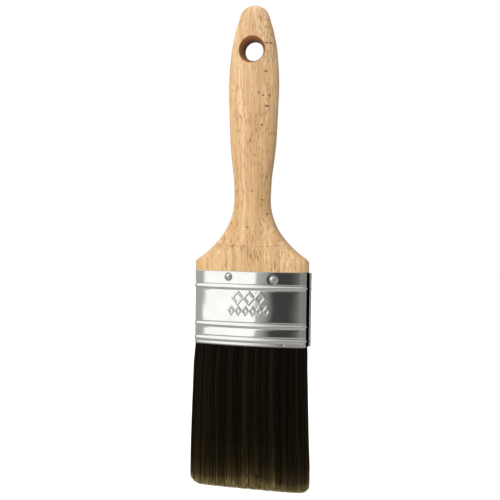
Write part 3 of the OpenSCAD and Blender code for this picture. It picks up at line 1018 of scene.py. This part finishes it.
# The large soft key light as dull surfaces receive it
KEY_LIGHT = (0.1, [(-20, 25, 60, 1.15)])
OVERHEAD = 1.3
BACKDROP = 1.0
# How far the panels lean, and the height at which they stand where they are said to be
LEAN = 0.3
LEVEL_HEIGHT = -0.1
# Heights of a direction between which one light gives way to the next
TO_ABOVE = (0.12, 0.3)
TO_OVERHEAD = (0.75, 0.97)
TO_BELOW = (-0.17, -0.25)
PANEL_WANDER = 5.0


def soft_panels(tree, azimuth, studio):
    """The brightness of a plain surround with soft-edged panels on it, by azimuth."""
    surround, panels = studio
    level = (surround, surround, surround, 1)
    for middle, half, edge, brightness in panels:
        off = math_node(tree, "ABSOLUTE", math_node(tree, "SUBTRACT", azimuth, float(middle)))
        values = {"Value": off, "From Min": half, "From Max": half + edge, "To Min": 1.0, "To Max": 0.0}
        inside = add_node(tree, "ShaderNodeMapRange", values, interpolation_type="SMOOTHSTEP").outputs[0]
        level = mix_colour(tree, inside, level, (brightness, brightness, brightness, 1))
    return level


def blend_in(tree, value, span):
    """0 at the start of a span and 1 at its end, smoothly."""
    values = {"Value": value, "From Min": span[0], "From Max": span[1]}
    return add_node(tree, "ShaderNodeMapRange", values, interpolation_type="SMOOTHSTEP").outputs[0]


def make_world():
    """Soft studio light: panels round the horizon, above and below, on a white backdrop."""
    world = bpy.data.worlds.new("studio")
    bpy.context.scene.world = world
    world.use_nodes = True
    tree = world.node_tree
    background = tree.nodes["Background"]
    direction = add_node(tree, "ShaderNodeTexCoord").outputs["Generated"]
    split = add_node(tree, "ShaderNodeSeparateXYZ", {0: direction})
    height = split.outputs[2]
    toward = math_node(tree, "MULTIPLY", split.outputs[1], -1.0)
    around = math_node(tree, "ARCTAN2", split.outputs[0], toward)
    azimuth = math_node(tree, "MULTIPLY", around, 180 / math.pi)

    patchy = scaled_noise(tree, direction, (9, 9, 14), 2.0)
    shift = math_node(tree, "MULTIPLY", math_node(tree, "SUBTRACT", patchy, 0.5), PANEL_WANDER)
    above_level = math_node(tree, "SUBTRACT", height, LEVEL_HEIGHT)
    rise = math_node(tree, "MULTIPLY", above_level, LEAN * 180 / math.pi)
    leaning = math_node(tree, "ADD", math_node(tree, "SUBTRACT", azimuth, rise), shift)
    level = soft_panels(tree, leaning, HORIZON)

    high, top, low = (blend_in(tree, height, span) for span in (TO_ABOVE, TO_OVERHEAD, TO_BELOW))
    raised = mix_colour(tree, high, level, soft_panels(tree, azimuth, ABOVE))
    roofed = mix_colour(tree, top, raised, (OVERHEAD, OVERHEAD, OVERHEAD, 1))
    lit = mix_colour(tree, low, roofed, soft_panels(tree, azimuth, BELOW))
    path = add_node(tree, "ShaderNodeLightPath").outputs
    softened = mix_colour(tree, 1.0, lit, soft_panels(tree, azimuth, KEY_LIGHT), "ADD")
    mirrored = mix_colour(tree, path["Is Glossy Ray"], softened, lit)
    backed = mix_colour(tree, path["Is Camera Ray"], mirrored, (BACKDROP, BACKDROP, BACKDROP, 1))
    tree.links.new(backed, background.inputs["Color"])


def make_floor():
    """A pale round floor below the hanging brush."""
    material, tree, shader = new_material("pale_floor", 0.8, specular=0.1)
    place = add_node(tree, "ShaderNodeTexCoord").outputs["Object"]
    mottle = scaled_noise(tree, place, (6, 6, 6), 2.0)
    tone = mix_colour(tree, mottle, (0.95, 0.95, 0.95, 1), (0.93, 0.93, 0.93, 1))
    tree.links.new(tone, shader.inputs["Base Color"])
    shader.inputs["Emission Color"].default_value = (1, 1, 1, 1)
    shader.inputs["Emission Strength"].default_value = FLOOR_GLOW
    place = (0, 0, TIPS_Z - FLOOR_GAP)
    bpy.ops.mesh.primitive_circle_add(vertices=96, radius=FLOOR_R, fill_type="NGON", location=place)
    floor = bpy.context.object
    floor.name = "floor"
    floor.data.materials.append(material)
    floor.visible_glossy = False
    floor.visible_diffuse = False


def make_camera():
    """The camera, where the reference view was taken from."""
    turn, rise, roll = CAMERA_TURN, CAMERA_RISE, CAMERA_ROLL
    back = Vector((math.sin(turn) * math.cos(rise), -math.cos(turn) * math.cos(rise), math.sin(rise)))
    right = (-back).cross(Vector((0, 0, 1))).normalized()
    up = right.cross(-back)
    tilted_right = math.cos(roll) * right + math.sin(roll) * up
    tilted_up = math.cos(roll) * up - math.sin(roll) * right
    data = bpy.data.cameras.new("camera")
    data.lens = CAMERA_LENS
    data.clip_start = 0.01
    camera = bpy.data.objects.new("camera", data)
    bpy.context.scene.collection.objects.link(camera)
    turned = Matrix((tilted_right, tilted_up, back)).transposed().to_4x4()
    camera.matrix_world = Matrix.Translation(CAMERA_AIM + back * CAMERA_AWAY) @ turned
    bpy.context.scene.camera = camera


bpy.context.scene.view_settings.view_transform = "Standard"
make_camera()
make_world()
make_floor()
make_handle(beech())
make_ferrule(steel("ferrule_steel", 0.055, (0.88, 0.872, 0.835)))
make_tuft(filament_material())
finish_nodes()
